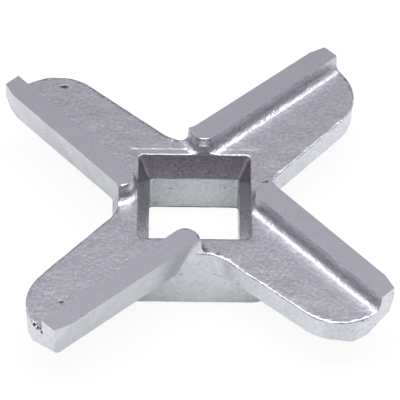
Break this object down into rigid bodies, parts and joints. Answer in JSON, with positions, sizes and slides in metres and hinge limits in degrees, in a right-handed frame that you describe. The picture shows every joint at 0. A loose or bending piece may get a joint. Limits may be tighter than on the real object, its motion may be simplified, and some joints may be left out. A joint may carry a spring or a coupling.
{
  "type": "meat grinder knife",
  "caption": "Cast cross-shaped cutting knife with a raised rib along each arm and a square drive hole through its hub.",
  "frame": {"origin": "middle of the flat back of the hub, on the axis of the square hole", "axes": "+Z along the drive hole towards the ground cutting tops; the arms lie along the diagonals between +X and +Y"},
  "size_m": [0.0388, 0.0388, 0.0089],
  "materials": {
    "cast_steel": "as cast, with the rib tops and leading faces ground"
  },
  "bodies": {
    "root": {"grinder_knife": "cast_steel"}
  },
  "joints": []
}
